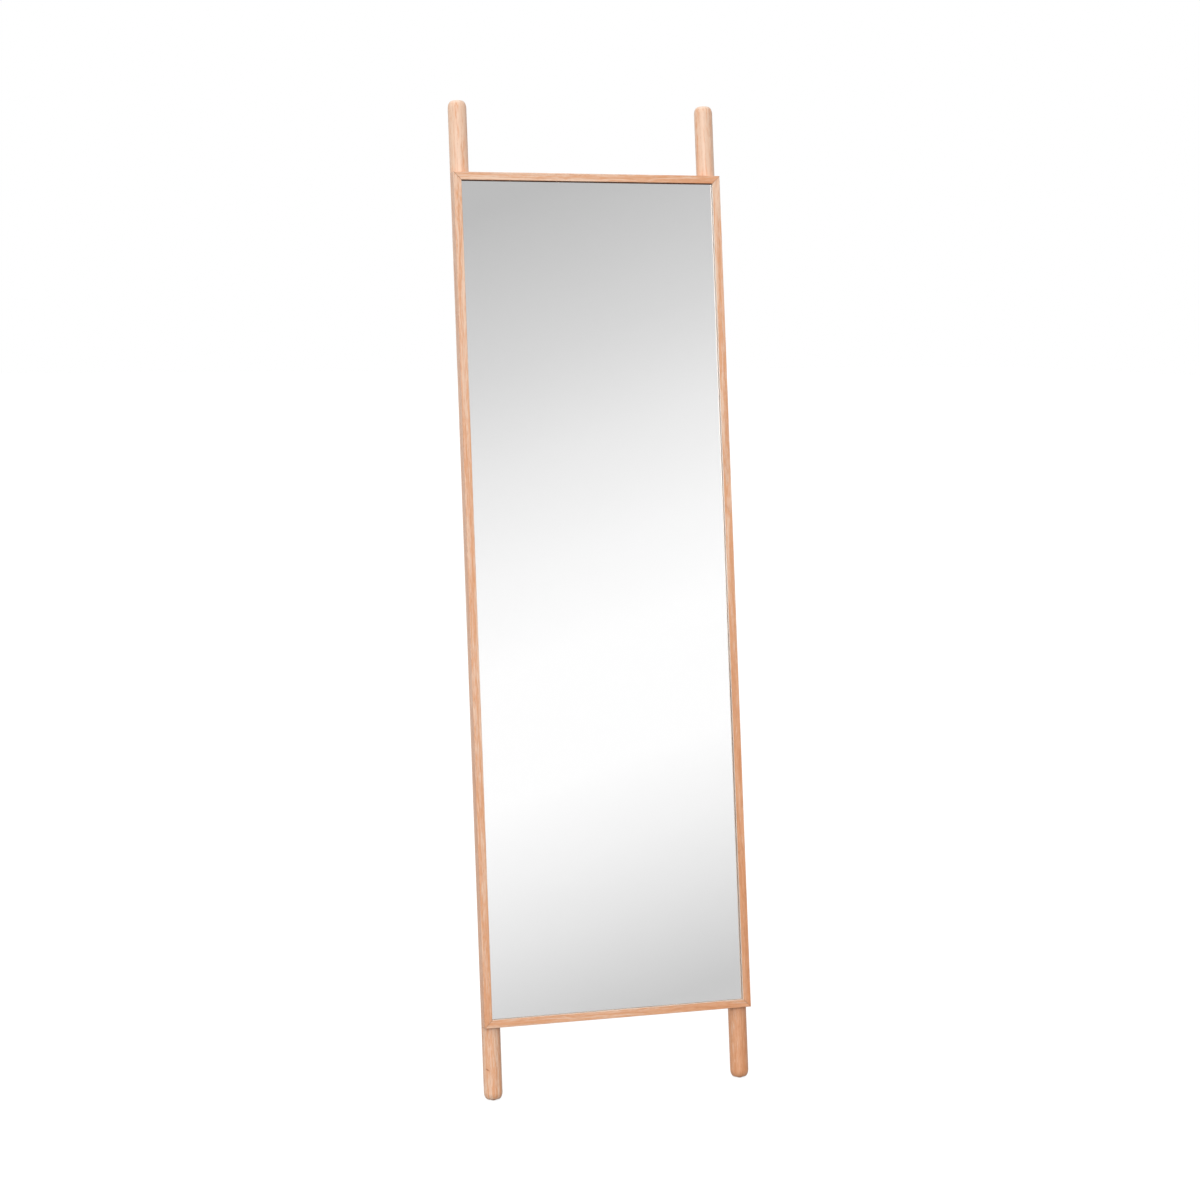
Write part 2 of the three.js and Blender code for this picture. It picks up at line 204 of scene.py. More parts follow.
def drilled(blank, bits):
    """Cuts closed meshes out of a blank, and returns what is left."""
    tools = bmesh.new()
    for bit in bits:
        joined = bpy.data.meshes.new("bit")
        bit.to_mesh(joined)
        tools.from_mesh(joined)
        bpy.data.meshes.remove(joined)
    held = []
    for bm in (blank, tools):
        mesh = bpy.data.meshes.new("drilling")
        bm.to_mesh(mesh)
        held.append(add_object("drilling", mesh))
    cut = held[0].modifiers.new("cut", "BOOLEAN")
    cut.operation, cut.solver, cut.object = "DIFFERENCE", "EXACT", held[1]
    cut.use_self = True  # the bits may cross each other
    result = bmesh.new()
    result.from_object(held[0], bpy.context.evaluated_depsgraph_get())
    for used in held:
        mesh = used.data
        bpy.data.objects.remove(used)
        bpy.data.meshes.remove(mesh)
    return result


# %% [markdown]
# A real edge is never perfectly sharp, and a sharp one catches no light. Each finished piece gets
# a bevel modifier a fraction of a millimetre wide. A weighted-normal modifier then keeps broad
# faces flat to the eye while the narrow bevels carry the shading round the corner.

# %% Finish a piece
SHARP = math.radians(40)  # a bend that counts as an edge
BROAD_FACE_WEIGHT = 80


def finished(name, bm, finish, node, edge=0.3, body="mirror", place=bench):
    """Makes an object of a mesh in millimetres. It rides on a body and stands for a part."""
    mesh = bpy.data.meshes.new(name)
    bm.to_mesh(mesh)
    mesh.transform(Matrix.Scale(MM, 4))
    mesh.shade_smooth()
    for material in finish if isinstance(finish, list) else [finish]:
        mesh.materials.append(material)
    piece = add_object(name, mesh)
    piece.matrix_world = place
    if edge:
        soften = piece.modifiers.new("soft edges", "BEVEL")
        soften.width, soften.segments = edge * MM, 2
        soften.limit_method, soften.angle_limit = "ANGLE", SHARP
    even = piece.modifiers.new("even shading", "WEIGHTED_NORMAL")
    even.weight, even.keep_sharp = BROAD_FACE_WEIGHT, True
    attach(piece, body)
    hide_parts(node)
    return piece


# %% [markdown]
# ## Node helpers
# A material is a small program drawn with nodes. `put` adds one node and `fill` sees to its
# sockets: a value is written in and another node's socket is linked. Everything below is made
# with these two.

# %% Put nodes together
NODE_SPACING = 190


def fill(tree, node, sockets):
    for key, value in sockets.items():
        if isinstance(value, bpy.types.NodeSocket):
            tree.links.new(value, node.inputs[key])
        else:
            node.inputs[key].default_value = value


def put(tree, kind, sockets=None, **settings):
    node = tree.nodes.new("ShaderNode" + kind)
    node.location = (NODE_SPACING * len(tree.nodes), 0)
    for name, value in settings.items():
        setattr(node, name, value)
    fill(tree, node, sockets or {})
    return node


def calc(tree, operation, a, b=0.0, clamp=False):
    return put(tree, "Math", {0: a, 1: b}, operation=operation, use_clamp=clamp).outputs[0]


def plus(tree, a, b, clamp=False):
    return calc(tree, "ADD", a, b, clamp)


def minus(tree, a, b):
    return calc(tree, "SUBTRACT", a, b)


def times(tree, a, b):
    return calc(tree, "MULTIPLY", a, b)


def vector_calc(tree, operation, a, b=(0.0, 0.0, 0.0)):
    """A vector from two others, or a number where that is what the operation gives."""
    results = put(tree, "VectorMath", {0: a, 1: b}, operation=operation).outputs
    return results["Value" if operation in ("LENGTH", "DOT_PRODUCT") else "Vector"]


def split(tree, vector):
    return put(tree, "SeparateXYZ", {"Vector": vector}).outputs


def grey(tree, brightness):
    return put(tree, "CombineColor", {i: brightness for i in range(3)}).outputs[0]


def ease(tree, value, low, high, to_low=0.0, to_high=1.0):
    """A smooth step: below low it gives to_low, and above high to_high."""
    sockets = {"Value": value, "From Min": low, "From Max": high, "To Min": to_low,
               "To Max": to_high}
    return put(tree, "MapRange", sockets, interpolation_type="SMOOTHSTEP").outputs[0]


def blend(tree, share, a, b, mode="MIX"):
    """Mixes two colours."""
    node = put(tree, "Mix", data_type="RGBA", blend_type=mode)
    fill(tree, node, {0: share, 6: a, 7: b})
    return node.outputs[2]


def stained_and_lit(tree, colour, mask, strength, stain_and_light):
    """Mixes another colour into a colour, at a strength from 0 to 1 where the mask is full: a
    stain, wear, a glue line, and on the lips painted light and shade.
    """
    return blend(tree, times(tree, mask, strength), colour, stain_and_light)


# %% Noise and paint
def noise(tree, place, detail, roughness=0.5, scale=1.0):
    sockets = {"Vector": place, "Scale": scale, "Detail": detail, "Roughness": roughness}
    return put(tree, "TexNoise", sockets).outputs


def grain(tree, place, stretch, detail, roughness=0.5):
    """Noise drawn out by a different amount each way, from 0 to 1."""
    return noise(tree, vector_calc(tree, "MULTIPLY", place, stretch), detail, roughness)["Fac"]


def paint(red, green, blue):
    """A colour as a paint chart gives it, from 0 to 255, in the light values that nodes use."""
    parts = [c / 255 for c in (red, green, blue)]
    linear = [c / 12.92 if c <= 0.04045 else ((c + 0.055) / 1.055) ** 2.4 for c in parts]
    return linear + [1.0]


# %% [markdown]
# An effect that several materials share is a node group: a tree with named inputs and outputs,
# which a material uses like one node. Written above a function, `@effect` makes such a group. It
# adds the sockets and lets the function draw what lies between them.

# %% Node groups
SURFACE = {"Color": "Color", "Roughness": "Float", "Height": "Float"}  # what two of them put out


def socket_kind(value):
    """A list of four is a colour, a list of three is a vector, and one number is a float."""
    sizes = {3: "Vector", 4: "Color"}
    return "NodeSocket" + (sizes[len(value)] if hasattr(value, "__len__") else "Float")


def effect(name, inputs, outputs):
    """Turns a function of (tree, inputs), which returns its outputs by name, into a group."""
    def drawn_by(draw):
        group = bpy.data.node_groups.new(name, "ShaderNodeTree")
        for label, value in inputs.items():
            socket = group.interface.new_socket(
                label, in_out="INPUT", socket_type=socket_kind(value))
            socket.default_value = value
        for label, kind in outputs.items():
            group.interface.new_socket(label, in_out="OUTPUT", socket_type="NodeSocket" + kind)
        given = group.nodes.new("NodeGroupInput").outputs
        fill(group, group.nodes.new("NodeGroupOutput"), draw(group, given))
        print(f"{name}: {len(group.nodes)} nodes")
        return group
    return drawn_by


def use(tree, group, sockets):
    """Places a group in a material, with its own values, and gives its outputs."""
    return put(tree, "Group", sockets, node_tree=group).outputs


# %% [markdown]
# ## Oak that grew
# Oak has four things to see. Growth rings give bands of colour. Each ring starts with a belt of
# open pores, which a plane cuts into short dark dashes. Rays run out from the heart and show as
# pale flecks or thin dark ticks. Finally the tone drifts along a board, from sapwood cream to
# heartwood peach.
#
# A flat picture of wood would smear round the posts and fail on the end grain. This is a solid
# texture instead: every effect is a function of the place in the tree, so faces, rounds and ends
# agree by themselves. The group wants millimetres, with the heart of the tree on the z axis.

# %% How fine the features of oak are
# Each is in waves per millimetre: across the grain, across it again, and along it.
SWAY_SCALE = (0.02, 0.02, 0.003)
PORE_SCALE = (2.1, 2.1, 0.11)
FIBRE_SCALE = (1.6, 1.6, 0.03)
FLECK_SCALE = (0.5, 0.5, 0.04)
STREAK_SCALE = (0.16, 0.16, 0.0035)
KNOT_SCALE = (0.17, 0.2, 0.42)
RAY_ROUND, RAY_OUT, RAY_ALONG = 150.0, 0.06, 0.075  # the first is per radian
YEAR_SCALE = 0.11
print(f"a pore is about {1 / PORE_SCALE[2]:.0f} mm long and {1 / PORE_SCALE[0]:.1f} mm wide")

# %% How strong they are
SWAY_BY = (26.0, 26.0, 0.0)  # how far a ring wanders, in mm
KNOT_LEAN = math.radians(-28)
KNOT_PUSH = 2.5  # mm
YEARS_DIFFER = 2.2  # in rings
EARLY_STAIN, PORE_STAIN, RAY_SHINE, KNOT_STAIN = 0.12, 0.3, 0.22, 0.75
DRIFT_TONE, STREAK_TONE, FLECK_TONE, LATE_TONE = 0.5, (-0.05, 0.35), (-0.26, 0.26), 0.12
FIBRE_SHADE = (0.95, 1.05)
ROUGH, ROUGH_PORE, ROUGH_RAY, ROUGH_FIBRE = 0.46, 0.2, 0.1, 0.08
HIGH_PORE, HIGH_EARLY, HIGH_FIBRE = -1.0, -0.25, 0.3
print(f"rings wander by up to {SWAY_BY[0] / 2:.0f} mm")


# %% The oak group
@effect("oak growth", {
    "Vector": (0.0, 0.0, 0.0), "Ring Width": 4.0,
    "Cream": paint(235, 199, 172), "Peach": paint(223, 162, 120),
    "Heart": paint(210, 140, 93), "Pore": paint(166, 104, 68),
    "Cream Height": 900.0, "Heart Height": -900.0, "Knot": (0.0, 0.0, 9000.0),
}, SURFACE)
def oak_growth(tree, given):
    spot = given["Vector"]

    # A pin knot pushes the grain aside and stains it.
    to_knot = vector_calc(tree, "SUBTRACT", spot, given["Knot"])
    slanted = put(tree, "VectorRotate", {"Vector": to_knot, "Angle": KNOT_LEAN},
                  rotation_type="Y_AXIS").outputs[0]
    reach = vector_calc(tree, "MULTIPLY", slanted, KNOT_SCALE)
    knot = ease(tree, vector_calc(tree, "LENGTH", reach), 0.2, 1.0, 1.0, 0.0)

    # Trees don't grow straight: slow noise along the grain bends the rings.
    slow = noise(tree, vector_calc(tree, "MULTIPLY", spot, SWAY_SCALE), 3.0, 0.45)["Color"]
    sway = vector_calc(tree, "SUBTRACT", slow, (0.5, 0.5, 0.5))
    bent = vector_calc(tree, "ADD", spot, vector_calc(tree, "MULTIPLY", sway, SWAY_BY))
    flat = vector_calc(tree, "MULTIPLY", bent, (1.0, 1.0, 0.0))
    radius = vector_calc(tree, "LENGTH", flat)
    radius = plus(tree, radius, times(tree, knot, KNOT_PUSH))

    # Rings: good and bad years differ in width. Each goes from a porous start to late wood.
    year = times(tree, radius, YEAR_SCALE)
    years = put(tree, "TexNoise", {"W": year, "Scale": 1.0, "Detail": 1.0},
                noise_dimensions="1D").outputs["Fac"]
    count = calc(tree, "DIVIDE", radius, given["Ring Width"])
    count = plus(tree, count, times(tree, years, YEARS_DIFFER))
    phase = calc(tree, "FRACT", count)
    early = ease(tree, phase, 0.02, 0.46, 1.0, 0.0)
    early = times(tree, early, ease(tree, phase, 0.0, 0.02))
    late = ease(tree, phase, 0.6, 0.98)

    # Pores: long thin cells, crowded where the ring starts and scattered elsewhere.
    cells = put(tree, "TexVoronoi", {"Vector": vector_calc(tree, "MULTIPLY", bent, PORE_SCALE),
                                     "Scale": 1.0, "Randomness": 1.0}).outputs["Distance"]
    room = plus(tree, times(tree, early, 0.26), 0.16)
    pores = ease(tree, minus(tree, cells, room), -0.1, 0.02, 1.0, 0.0)

    # Rays: sheets that stand on the heart, long outwards and along, and thin round the ring.
    parts = split(tree, bent)
    bearing = calc(tree, "ARCTAN2", parts["Y"], parts["X"])
    polar = put(tree, "CombineXYZ", {"X": times(tree, bearing, RAY_ROUND),
                                     "Y": times(tree, radius, RAY_OUT),
                                     "Z": times(tree, parts["Z"], RAY_ALONG)})
    rays = ease(tree, noise(tree, polar.outputs[0], 1.5, 0.6)["Fac"], 0.62, 0.72)

    # Fibre, small flecks, and the broad streaks that a hand's width of board shows.
    fibre = grain(tree, bent, FIBRE_SCALE, 3.0, 0.6)
    fleck = grain(tree, bent, FLECK_SCALE, 3.0, 0.7)
    streak = grain(tree, bent, STREAK_SCALE, 2.0, 0.55)

    # The drift from cream to heart along the board, with the rest on top of it.
    drift = put(tree, "MapRange", {"Value": split(tree, spot)["Z"],
                                   "From Min": given["Cream Height"],
                                   "From Max": given["Heart Height"]}).outputs[0]
    tone = plus(tree, times(tree, drift, DRIFT_TONE), ease(tree, streak, 0.3, 0.7, *STREAK_TONE))
    tone = plus(tree, tone, ease(tree, fleck, 0.25, 0.75, *FLECK_TONE))
    tone = plus(tree, tone, times(tree, late, LATE_TONE), clamp=True)
    pale = blend(tree, ease(tree, tone, 0.0, 0.55), given["Cream"], given["Peach"])
    colour = blend(tree, ease(tree, tone, 0.5, 1.0), pale, given["Heart"])
    colour = stained_and_lit(tree, colour, early, EARLY_STAIN, given["Pore"])
    colour = stained_and_lit(tree, colour, pores, PORE_STAIN, given["Pore"])
    colour = stained_and_lit(tree, colour, rays, RAY_SHINE, given["Cream"])
    shade = grey(tree, ease(tree, fibre, 0.25, 0.75, *FIBRE_SHADE))
    colour = blend(tree, 1.0, colour, shade, "MULTIPLY")
    colour = stained_and_lit(tree, colour, knot, KNOT_STAIN, given["Pore"])

    # Pores are open and dull, rays are hard and shine.
    rough = plus(tree, ROUGH, times(tree, pores, ROUGH_PORE))
    rough = minus(tree, rough, times(tree, rays, ROUGH_RAY))
    rough = plus(tree, rough, times(tree, fibre, ROUGH_FIBRE))
    height = plus(tree, times(tree, pores, HIGH_PORE), times(tree, early, HIGH_EARLY))
    height = plus(tree, height, times(tree, fibre, HIGH_FIBRE))
    return {"Color": colour, "Roughness": rough, "Height": height}


# %% [markdown]
# Handling and sanding leave the corners of wood a little paler. The Bevel node gives the normal
# that a rounded corner would have. Where it differs from the true normal, there is an edge near.


# %% The worn-edge group
@effect("edge wear", {"Radius": 0.0012, "Softness": 0.35}, {"Mask": "Float"})
def edge_wear(tree, given):
    rounded = put(tree, "Bevel", {"Radius": given["Radius"]}, samples=6).outputs["Normal"]
    true_normal = put(tree, "NewGeometry").outputs["Normal"]
    likeness = vector_calc(tree, "DOT_PRODUCT", rounded, true_normal)
    apart = minus(tree, 1.0, likeness)
    return {"Mask": ease(tree, apart, 0.0, given["Softness"])}


# %% [markdown]
# A glued mitre always shows as a thin dark line, because glue and oil soak into the cut fibres on
# both sides of it. The joints lie where a point is as far in from the outer side as it is from the
# end. That distance is a formula, so one group marks all four corners.


# %% The mitre line group
@effect("mitre line", {"Vector": (0.0, 0.0, 0.0), "Half Width": 260.0, "Half Height": 800.0,
                       "Reach": 0.9}, {"Mask": "Float"})
def mitre_line(tree, given):
    parts = split(tree, given["Vector"])
    across = minus(tree, given["Half Width"], calc(tree, "ABSOLUTE", parts["X"]))
    along = minus(tree, given["Half Height"], calc(tree, "ABSOLUTE", parts["Z"]))
    slant = times(tree, minus(tree, across, along), math.sqrt(0.5))
    share = calc(tree, "DIVIDE", calc(tree, "ABSOLUTE", slant), given["Reach"])
    return {"Mask": ease(tree, share, 0.2, 1.0, 1.0, 0.0)}


# %% [markdown]
# Rubber, steel, paint and fibreboard all need the same quiet unevenness: a cloudy patchiness and a
# fine tooth. One group makes both, and each material chooses how strong they are.


# %% The mottle group
@effect("mottle", {
    "Vector": (0.0, 0.0, 0.0), "Cloud Scale": 120.0, "Tooth Scale": 1500.0,
    "Dark": paint(60, 60, 60), "Light": paint(90, 90, 90),
    "Roughness": 0.6, "Roughness Spread": 0.15,
}, SURFACE)
def mottle(tree, given):
    spot = given["Vector"]
    cloud = noise(tree, spot, 4.0, 0.6, given["Cloud Scale"])["Fac"]
    tooth = noise(tree, spot, 2.0, 0.7, given["Tooth Scale"])["Fac"]
    share = plus(tree, ease(tree, cloud, 0.3, 0.7, 0.0, 0.7), times(tree, tooth, 0.3))
    swing = times(tree, minus(tree, cloud, 0.5), given["Roughness Spread"])
    return {"Color": blend(tree, share, given["Dark"], given["Light"]),
            "Roughness": plus(tree, given["Roughness"], times(tree, swing, 2.0)),
            "Height": plus(tree, tooth, times(tree, cloud, 0.6))}


# %% [markdown]
# ## Materials
# The shader itself stays in each material. Only the colours, roughness and height come from the
# groups.


# %% A material and its bump
def new_material(name):
    """A material with an empty Principled shader: the material, its tree and the shader."""
    material = bpy.data.materials.new(name)
    material.use_nodes = True
    tree = material.node_tree
    return material, tree, tree.nodes["Principled BSDF"]


def bumped(tree, height, depth):
    """The normal of a bump that is depth metres deep."""
    bump = put(tree, "Bump", {"Height": height, "Distance": depth, "Strength": 1.0})
    return bump.outputs["Normal"]


def in_mm(tree, place, shift, spin=(0, 0, 0)):
    """A place in metres, turned and shifted, in millimetres."""
    sockets = {"Vector": place, "Location": shift, "Rotation": spin, "Scale": (1 / MM,) * 3}
    return put(tree, "Mapping", sockets).outputs[0]


# %% [markdown]
# Every oak piece is cut from its own place in the tree, so no two look alike. Worn edges and the
# mitre lines are stains mixed over the same wood. The top of each post is painted paler, as light
# from above; the inside of each lip is painted paler as light, and under the top rail darker as
# shade.

# %% Oak for a board
OAK_POLISH = 0.26
GRAIN_DEPTH = 0.00006
PAINTED_TOP_FADE = 7  # mm, over which the painted light on a post's top fades in
# Of these three colours, the middle one is painted light on the post tops; the others are wear and
# a glue line.
RUBBED, TOP_LIGHT, GLUED = paint(247, 218, 190), paint(243, 222, 205), paint(140, 84, 52)
LIP_LIGHT, LIP_SHADE = paint(252, 232, 214), paint(112, 60, 34)  # painted light for the inner face of a lip, and painted shade for the top rail's lip


def oak(name, centre, heart, turn=(0, 0, 0), ring=4.0, cream_at=900, heart_at=-900, knot=None,
        corners=None, painted_top_above=None, lip=None, dull_lip=False):
    """Centre is the board's middle and heart is where it lay in the tree, both in mm. Lip is the
    way its inner side faces, and the strength and colour painted there: paler as light, and darker
    as shade under the top rail."""
    material, tree, shader = new_material(name)
    spin = Euler([math.radians(a) for a in turn])
    shift = Vector(heart) - spin.to_matrix() @ Vector(centre)
    own = put(tree, "TexCoord").outputs
    sockets = {"Vector": in_mm(tree, own["Object"], shift, spin), "Ring Width": ring,
               "Cream Height": cream_at, "Heart Height": heart_at}
    if knot:
        sockets["Knot"] = spin.to_matrix() @ Vector(knot) + shift
    growth = use(tree, oak_growth, sockets)
    wear = use(tree, edge_wear, {"Radius": 0.0012, "Softness": 0.4})["Mask"]
    colour = stained_and_lit(tree, growth["Color"], wear, 0.35, RUBBED)
    rough, polish = growth["Roughness"], OAK_POLISH
    # Above this height the top of a post is painted paler, as light falling from above.
    if painted_top_above:
        top_light_share = ease(tree, split(tree, own["Object"])["Z"], painted_top_above * MM,
                      (painted_top_above + PAINTED_TOP_FADE) * MM, 0.0, 0.6)
        colour = blend(tree, top_light_share, colour, TOP_LIGHT)
    if corners:
        half_across, half_up, middle_up = corners
        joint = use(tree, mitre_line, {
            "Vector": in_mm(tree, own["Object"], (0, 0, -middle_up)),
            "Half Width": half_across, "Half Height": half_up})["Mask"]
        colour = stained_and_lit(tree, colour, joint, 0.5, GLUED)
    # The inner face of a lip is painted paler as light, and the top rail's lip darker as shade.
    if lip:
        inwards, strength, stain_and_light = lip
        inside = ease(tree, vector_calc(tree, "DOT_PRODUCT", own["Normal"], inwards), 0.5, 0.9)
        colour = stained_and_lit(tree, colour, inside, strength, stain_and_light)
    if dull_lip:  # the polish doesn't reach it
        polish = times(tree, minus(tree, 1.0, inside), OAK_POLISH)
        rough = plus(tree, rough, times(tree, inside, 0.4))
    fill(tree, shader, {"Base Color": colour, "Roughness": rough, "Coat Weight": polish,
                        "Coat Roughness": 0.32,
                        "Normal": bumped(tree, growth["Height"], GRAIN_DEPTH)})
    return material


# %% Plain finishes
def plain(name, metallic=0.0, depth=0.00003, **values):
    """A finish from the mottle group alone."""
    material, tree, shader = new_material(name)
    sockets = {"Vector": put(tree, "TexCoord").outputs["Object"]}
    sockets |= {label.replace("_", " "): value for label, value in values.items()}
    patches = use(tree, mottle, sockets)
    fill(tree, shader, {"Base Color": patches["Color"], "Metallic": metallic,
                        "Roughness": patches["Roughness"],
                        "Normal": bumped(tree, patches["Height"], depth)})
    return material


zinc = plain("zinc_plated_steel", metallic=1.0, Dark=paint(158, 162, 168),
             Light=paint(206, 209, 212), Roughness=0.34, Roughness_Spread=0.2, Cloud_Scale=260.0)
black_rubber = plain("black_rubber", Dark=paint(34, 34, 35), Light=paint(56, 55, 54),
                     Roughness=0.72)
tan_rubber = plain("tan_rubber", Dark=paint(196, 142, 104), Light=paint(216, 164, 126),
                   Roughness=0.7)
foam = plain("foam_tape", Dark=paint(224, 224, 218), Light=paint(244, 244, 240), Roughness=0.9,
             Tooth_Scale=2400.0, depth=0.0002)
backing_paint = plain("backing_paint", Dark=paint(96, 98, 101), Light=paint(112, 114, 117),
                      Roughness=0.55)
made = (zinc, black_rubber, tan_rubber, foam, backing_paint)
print("plain finishes:", ", ".join(material.name for material in made))

# %% [markdown]
# ## The posts
# Each post is a round bar of oak, 35 mm thick, with its ends eased to a quarter ellipse. Between
# them the front is planed to a flat, and the frame sits in that housing, so from the front only
# the ends of the post show whole.
#
# The bar is turned first. The housing and the holes for screws, plugs and buffer are cut after
# that, in the order a joiner would do it. Extra rings near each hole keep the cut's effect on the
# shading local.

# %% Sizes of the posts
GAP = 0.3  # air between pieces that touch
HOLE_AIR = 0.4  # air round a screw
MEMBERS = ("stile_left", "stile_right", "top_rail", "bottom_rail")

post_low, post_high = measure("post_left")
frame_low, frame_high = measure(*MEMBERS)
plug_low, plug_high = measure("post_plug_left_1")
POST_R = (post_high.x - post_low.x) / 2
POST_X = -(post_high.x + post_low.x) / 2
POST_END = post_high.z
THROUGH = 2 * POST_R  # past the back of every wooden part
END_ACROSS = 7.5  # the quarter ellipse of a post's end is this wide
END_ALONG = 14.0  # and this long
END_STEPS = 10
PLUG_R = (plug_high.x - plug_low.x) / 2
BORE_FLOOR = plug_low.y - 2 * GAP
SHANK_R = 2.0  # the long screws
SMALL_R = 1.5  # the pan-head screws
STEM_R = 3.0  # the buffer's stem
PAD_R = 5.0
PAD_SUNK = 1.2
HOLE_MARGIN = 12  # from a hole's middle to the extra rings
print(f"post radius {POST_R:.2f}, length {2 * POST_END:.1f}, frame {frame_high - frame_low} mm")


# %% Holes
def hole(radius, start, end, sides=24):
    return turned([(radius, start), (radius, end)], sides)


def screw_bore():
    """The stepped hole of a long screw: shank, countersink and the plug's counterbore."""
    head_r = half_width("post_screw_left_1") + HOLE_AIR
    shank = SHANK_R + HOLE_AIR
    return turned([(shank, -POST_R), (shank, BORE_FLOOR + shank - head_r), (head_r, BORE_FLOOR),
                   (PLUG_R + GAP, BORE_FLOOR), (PLUG_R + GAP, THROUGH)])


def screw_holes(names, radius):
    """Straight holes, open at the back, for screws that point to the front."""
    return [moved(hole(radius + HOLE_AIR, measure(name)[0].y - GAP, THROUGH), *axis_of(name),
                  turn=FACING_BACK) for name in names]


# %% Make the posts
def post_blank(levels):
    inner, taper = POST_R - END_ACROSS, END_ALONG / END_ACROSS
    seat = PAD_R + GAP
    low_end = [(seat, PAD_SUNK - POST_END), (seat, -POST_END)]
    low_end += arc(inner, END_ALONG - POST_END, END_ACROSS, -90, 0, END_STEPS, taper)
    rings = [(POST_R, z + step) for z in levels for step in (-HOLE_MARGIN, HOLE_MARGIN)]
    high_end = arc(inner, POST_END - END_ALONG, END_ACROSS, 0, 90, END_STEPS, taper)
    return turned(low_end + rings + high_end, sides=72)


def make_post(side, sign, finish):
    levels = [level(f"post_plug_{side}_{i}") for i in range(1, 5)]
    buffer_level = level(f"wall_bumper_{side}")
    bits = [block((-THROUGH, -THROUGH, frame_low.z - GAP),
                  (THROUGH, frame_high.y + GAP, frame_high.z + GAP))]
    bits += [moved(screw_bore(), 0, 0, z, turn=FACING_BACK) for z in levels]
    stem_hole = hole(STEM_R + HOLE_AIR, measure(f"wall_bumper_{side}")[0].y - 1, THROUGH, 32)
    bits.append(moved(stem_hole, 0, 0, buffer_level, turn=FACING_BACK))
    post = drilled(post_blank(sorted([*levels, buffer_level])), bits)
    return finished(f"turned_post_{side}", moved(post, sign * POST_X, 0, 0), finish,
                    f"post_{side}")


# From here up, the top of each post is painted paler, as light from above.
PAINTED_TOP_FROM = POST_END - 8
post_oak = {
    "left": oak("oak_post_left", (-POST_X, 0, 0), (62, 34, 210), (0.5, -0.4, 20), ring=8.6,
                cream_at=600, heart_at=-5000, knot=(-POST_X - 12.5, -12.2, -878),
                painted_top_above=PAINTED_TOP_FROM),
    "right": oak("oak_post_right", (POST_X, 0, 0), (-66, -40, -480), (-0.4, 0.5, 230), ring=7.8,
                 cream_at=350, heart_at=-1700, painted_top_above=PAINTED_TOP_FROM),
}
for side, sign in SIDES:
    post = make_post(side, sign, post_oak[side])
    print(post.name, len(post.data.vertices), "vertices")

# %% [markdown]
# Where a screw goes in from the back, its head is hidden under a plug. The plug is cut from the
# same oak, and its end is pared to the round of the post, so each ring of points takes its depth
# from the post's circle.

# %% Make the plugs
# Each ring's radius, and how far it is sunk: only the rim is, as a small chamfer.
PLUG_RINGS = ((PLUG_R, 0.25), (4.55, 0.0), (3.2, 0.0), (1.6, 0.0))


def post_surface(x, radius):
    return math.sqrt(radius * radius - x * x)


def plug():
    corners = spokes(32)
    outline = [[(PLUG_R * c, plug_low.y, PLUG_R * s) for c, s in corners]]
    for radius, sunk in PLUG_RINGS:
        outline.append([(radius * c, post_surface(radius * c, POST_R) - sunk, radius * s)
                        for c, s in corners])
    return skin(outline)


for side, sign in SIDES:
    for i in range(1, 5):
        name = f"post_plug_{side}_{i}"
        where = (sign * POST_X, 0, level(name))
        cut_from = oak(f"oak_plug_{side}_{i}", where, (40 + 9 * i, 30 - 14 * sign, 300 * i),
                       (0, 0, 70 * i), cream_at=2000, heart_at=-1500)
        finished(f"oak_plug_{side}_{i}", moved(plug(), *where), cut_from, name, edge=0)
print(f"plugs: 8, {2 * PLUG_R:.1f} mm across")

# %% [markdown]
# ## The frame
# Four members with one section: 15 mm wide at the front, 25 mm deep, with a rebate behind the lip
# for glass and back panel. The front corners are eased by hand to about a millimetre.
#
# The section is drawn once. Each end of it slides along by its distance from the outer side, which
# makes a true mitre with nothing to cut. Loose tongues cross the joints, so their slots are cut at
# both ends.

# %% Sizes of the frame
FACE = 15.0
WEB = 8.0  # the width that is left behind the lip
EASED = 1.0
FRAME_DEPTH = frame_high.y - frame_low.y
glass_low, glass_high = measure("mirror_glass")
LIP_DEPTH = glass_low.y - 0.1 - frame_low.y  # the glass is pressed up to the lip
MIDDLE_Z = (frame_low.z + frame_high.z) / 2
STILE_HALF = (frame_high.x - frame_low.x) / 2
RAIL_HALF = (frame_high.z - frame_low.z) / 2
print(f"lip {LIP_DEPTH:.1f} mm deep, frame {FRAME_DEPTH:.1f} mm deep")


# %% Shape the members
def member_section():
    """(distance from the outer side, depth) round the section."""
    front = arc(EASED, EASED, EASED, 180, 270, 5) + arc(FACE - EASED, EASED, EASED, 270, 360, 5)
    return front + [(FACE, LIP_DEPTH), (WEB, LIP_DEPTH), (WEB, FRAME_DEPTH), (0, FRAME_DEPTH)]


def member(half_across, half_length):
    return skin([[(inset - half_across, frame_low.y + depth,
                   end * (half_length - inset - GAP / 2)) for inset, depth in member_section()]
                 for end in (-1, 1)])


KEYS = [f"mitre_key_{end}_{side}" for end in ENDS for side, _ in SIDES]


def key_slots():
    slots = []
    for name in KEYS:
        low, high = measure(name)
        half = half_width(name) / math.sqrt(2) + GAP  # it lies at 45 degrees
        thick = (high.y - low.y) / 2 + GAP
        slot = block((-half, -thick, -half), (half, thick, half))
        slots.append(moved(slot, *(low + high) / 2, turn=Matrix.Rotation(math.pi / 4, 4, "Y")))
    return slots


